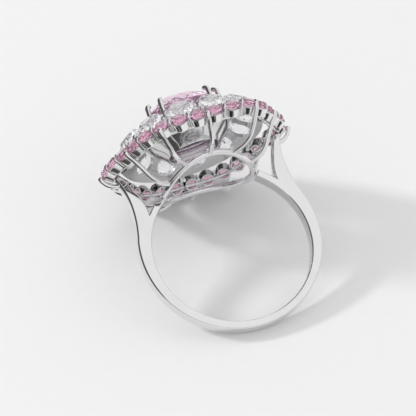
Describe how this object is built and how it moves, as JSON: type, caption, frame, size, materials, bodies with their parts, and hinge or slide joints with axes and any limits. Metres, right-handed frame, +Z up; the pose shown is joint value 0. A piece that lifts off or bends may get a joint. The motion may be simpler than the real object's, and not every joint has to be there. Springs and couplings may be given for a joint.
{
  "type": "cocktail ring",
  "caption": "A split-shank cocktail ring with a pink cushion stone in a claw head, a tier of clear stones and a scalloped rim of small pink stones over an open gallery, lying at rest on a table",
  "frame": {"origin": "bottom centre of the bounding box, on the table that the ring lies on", "axes": "+Z up from the table; +Y from the back of the shank towards the head; X across the head, along the line between the two shoulders"},
  "size_m": [0.0224, 0.0262, 0.0186],
  "materials": {
    "polished_metal": "white metal polished to a mirror, as rhodium plated silver",
    "pink_stone": "faceted and polished transparent pink stone",
    "clear_stone": "faceted and polished colourless stone"
  },
  "bodies": {
    "root": {"shank": "polished_metal", "gallery": "polished_metal", "petal_1": "polished_metal", "petal_2": "polished_metal", "petal_3": "polished_metal", "petal_4": "polished_metal", "petal_5": "polished_metal", "petal_6": "polished_metal", "crown_plate": "polished_metal", "centre_head": "polished_metal", "pink_stone_01": "pink_stone", "pink_stone_02": "pink_stone", "pink_stone_03": "pink_stone", "pink_stone_04": "pink_stone", "pink_stone_05": "pink_stone", "pink_stone_06": "pink_stone", "pink_stone_07": "pink_stone", "pink_stone_08": "pink_stone", "pink_stone_09": "pink_stone", "pink_stone_10": "pink_stone", "pink_stone_11": "pink_stone", "pink_stone_12": "pink_stone", "pink_stone_13": "pink_stone", "pink_stone_14": "pink_stone", "pink_stone_15": "pink_stone", "pink_stone_16": "pink_stone", "pink_stone_17": "pink_stone", "pink_stone_18": "pink_stone", "pink_stone_19": "pink_stone", "pink_stone_20": "pink_stone", "pink_stone_21": "pink_stone", "pink_stone_22": "pink_stone", "pink_stone_23": "pink_stone", "pink_stone_24": "pink_stone", "pink_stone_25": "pink_stone", "pink_stone_26": "pink_stone", "pink_stone_27": "pink_stone", "pink_stone_28": "pink_stone", "pink_stone_29": "pink_stone", "pink_stone_30": "pink_stone", "centre_stone": "pink_stone", "clear_stone_01": "clear_stone", "clear_stone_02": "clear_stone", "clear_stone_03": "clear_stone", "clear_stone_04": "clear_stone", "clear_stone_05": "clear_stone", "clear_stone_06": "clear_stone", "clear_stone_07": "clear_stone", "clear_stone_08": "clear_stone", "clear_stone_09": "clear_stone", "clear_stone_10": "clear_stone", "clear_stone_11": "clear_stone", "clear_stone_12": "clear_stone"}
  },
  "joints": []
}
